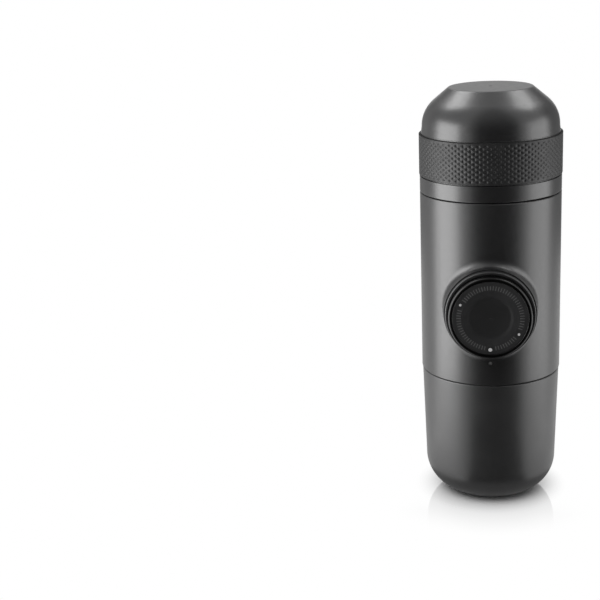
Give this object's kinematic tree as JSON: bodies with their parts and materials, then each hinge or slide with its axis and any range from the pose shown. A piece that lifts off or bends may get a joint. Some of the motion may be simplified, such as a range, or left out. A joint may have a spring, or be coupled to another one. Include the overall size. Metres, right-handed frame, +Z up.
{
  "type": "handheld manual espresso maker",
  "caption": "Upright cylindrical hand-pumped espresso maker with screw-on water tank, side piston knob, screwed outlet head with filter basket and a knurled cup that caps it.",
  "frame": {"origin": "centre of the water tank's flat foot, on the body's axis", "axes": "+Z up along the body's axis, -Y out along the piston towards the knob, +X to the right seen from the knob"},
  "size_m": [0.0594, 0.0692, 0.1767],
  "materials": {
    "tank_plastic": "fine matt moulded plastic",
    "body_paint": "satin soft-touch coat",
    "head_plastic": "satin moulded plastic",
    "ring_plastic": "satin moulded plastic",
    "cup_plastic": "semi-gloss moulded plastic",
    "grip_rubber": "knurled matt silicone",
    "black_plastic": "satin moulded plastic",
    "inner_plastic": "moulded plastic",
    "scoop_plastic": "satin moulded plastic",
    "nozzle_plastic": "polished insert",
    "knob_face": "matt disc with fine ticks",
    "mark_pale": "pale plastic pips",
    "mark_dark": "dark plastic pip",
    "seal_silicone": "translucent grey silicone",
    "seal_rubber": "black rubber",
    "steel_polished": "polished stainless steel",
    "steel_sheet": "brushed stainless sheet",
    "steel_turned": "turned stainless steel",
    "spring_steel": "drawn spring wire"
  },
  "bodies": {
    "water_tank": {"water_tank": "tank_plastic"},
    "tank_gasket": {"tank_gasket": "seal_silicone"},
    "main_body": {"base_plate": "inner_plastic", "inlet_strainer": "steel_sheet", "strainer_screw": "steel_turned", "vent_valve": "seal_silicone", "spacer_posts": "steel_turned", "chassis_screws": "steel_turned", "inlet_tube": "steel_turned", "delivery_tube": "steel_turned", "body_shell": "body_paint", "lock_mark": "mark_dark", "boss_bezel": "body_paint", "piston_guide": "black_plastic", "valve_block": "inner_plastic", "inlet_valve_seat": "seal_rubber", "inlet_valve_spring": "spring_steel", "outlet_valve_seat": "seal_rubber", "outlet_valve_spring": "spring_steel", "outlet_valve_cap": "inner_plastic", "pump_cylinder": "inner_plastic", "cylinder_gasket": "seal_silicone", "return_spring": "spring_steel", "brew_head": "ring_plastic", "basket_gasket": "seal_silicone"},
    "piston": {"piston_head": "inner_plastic", "piston_seal": "seal_rubber"},
    "plunger": {"piston_rod": "steel_turned", "rod_clip": "spring_steel", "plunger_skirt": "black_plastic", "piston_sleeve": "steel_polished", "spring_plug": "inner_plastic", "knob_screw": "steel_turned", "knob_cap": "knob_face", "knob_dots": "mark_pale"},
    "inlet_ball": {"inlet_valve_ball": "steel_turned"},
    "outlet_ball": {"outlet_valve_ball": "steel_turned"},
    "head_seal": {"head_seal": "seal_rubber"},
    "outlet_head": {"outlet_head": "head_plastic", "outlet_funnel": "inner_plastic", "outlet_nozzle": "nozzle_plastic", "brew_screen": "steel_sheet", "brew_gasket": "seal_silicone"},
    "filter_basket": {"filter_basket": "steel_sheet"},
    "coffee_scoop": {"coffee_scoop": "scoop_plastic"},
    "cup": {"cup_shell": "cup_plastic", "cup_grip_band": "grip_rubber"}
  },
  "joints": [
    {"name": "tank_lift", "type": "slide", "parent": "water_tank", "child": "tank_gasket", "axis": [0, 0, 1], "range_m": [0, 0.024]},
    {"name": "tank_turn", "type": "hinge", "parent": "tank_gasket", "child": "main_body", "pos_m": [0, 0, 0.0565], "axis": [0, 0, 1], "range_deg": [0, 720]},
    {"name": "piston_stroke", "type": "slide", "parent": "main_body", "child": "piston", "axis": [0, -1, 0], "range_m": [0, 0.033], "deforming": ["return_spring"]},
    {"name": "knob_twist", "type": "hinge", "parent": "piston", "child": "plunger", "pos_m": [0, -0.0395, 0.0888], "axis": [0, 1, 0], "range_deg": [0, 60]},
    {"name": "inlet_valve_lift", "type": "slide", "parent": "main_body", "child": "inlet_ball", "axis": [0, 0, 1], "range_m": [0, 0.0012], "stiffness_N_per_m": 20, "springref_m": -0.002, "deforming": ["inlet_valve_spring"]},
    {"name": "outlet_valve_lift", "type": "slide", "parent": "main_body", "child": "outlet_ball", "axis": [0, 0, 1], "range_m": [0, 0.0012], "stiffness_N_per_m": 20, "springref_m": -0.002, "deforming": ["outlet_valve_spring"]},
    {"name": "head_lift", "type": "slide", "parent": "main_body", "child": "head_seal", "axis": [0, 0, 1], "range_m": [0, 0.048]},
    {"name": "head_turn", "type": "hinge", "parent": "head_seal", "child": "outlet_head", "pos_m": [0, 0, 0.1362], "axis": [0, 0, 1], "range_deg": [0, 1080]},
    {"name": "basket_lift", "type": "slide", "parent": "main_body", "child": "filter_basket", "axis": [0, 0, 1], "range_m": [0, 0.024]},
    {"name": "scoop_lift", "type": "slide", "parent": "main_body", "child": "coffee_scoop", "axis": [0, 0, 1], "range_m": [0, 0.036]},
    {"name": "cup_pull", "type": "slide", "parent": "outlet_head", "child": "cup", "axis": [0, 0, 1], "range_m": [0, 0.055]}
  ],
  "couplings": [
    {"joint": "tank_lift", "follows": "tank_turn", "m_per_rad": 0.0019099},
    {"joint": "head_lift", "follows": "head_turn", "m_per_rad": 0.0025465},
    {"joint": "basket_lift", "follows": "head_turn", "m_per_rad": 0.0012732},
    {"joint": "scoop_lift", "follows": "head_turn", "m_per_rad": 0.0019099}
  ]
}
